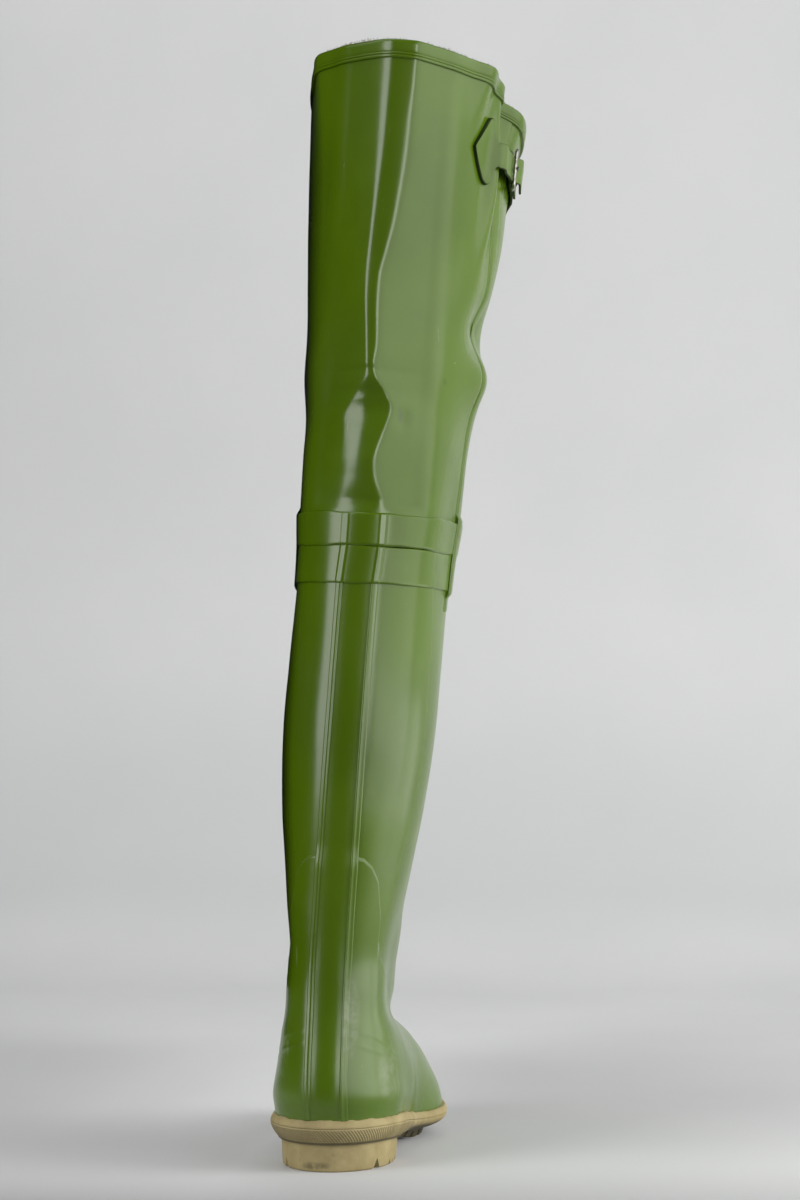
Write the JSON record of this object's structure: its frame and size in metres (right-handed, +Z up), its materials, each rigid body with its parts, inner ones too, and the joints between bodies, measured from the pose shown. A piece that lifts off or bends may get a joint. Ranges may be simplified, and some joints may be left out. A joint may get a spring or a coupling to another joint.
{
  "type": "rubber thigh boot",
  "caption": "Right-foot rubber thigh boot: hollow foot and leg, soft thigh shaft with bound collar, knee bands, ribbed back stay, treaded sole and heel, side strap with buckle.",
  "frame": {"origin": "on the floor, under the middle of the boot's bounding box", "axes": "+Z up, +Y towards the toe, +X towards the outer side of the right foot"},
  "size_m": [0.1822, 0.326, 0.7807],
  "materials": {
    "green_rubber": "satin",
    "green_thigh_rubber": "satin",
    "tan_rubber": "matte",
    "footbed_fabric": "matte",
    "buckle_steel": "satin"
  },
  "bodies": {
    "root": {"outsole": "tan_rubber", "heel_block": "tan_rubber", "foxing_strip": "tan_rubber", "insole": "footbed_fabric", "upper": "green_rubber", "thigh_tube": "green_thigh_rubber", "knee_band_lower": "green_rubber", "knee_band_upper": "green_rubber", "collar_binding": "green_thigh_rubber", "heel_counter": "green_rubber", "back_stay": "green_rubber", "side_seam_lateral": "green_rubber", "side_seam_medial": "green_rubber", "strap_rear": "green_rubber", "strap_front": "green_rubber", "buckle_frame": "buckle_steel", "buckle_prong": "buckle_steel"}
  },
  "joints": []
}
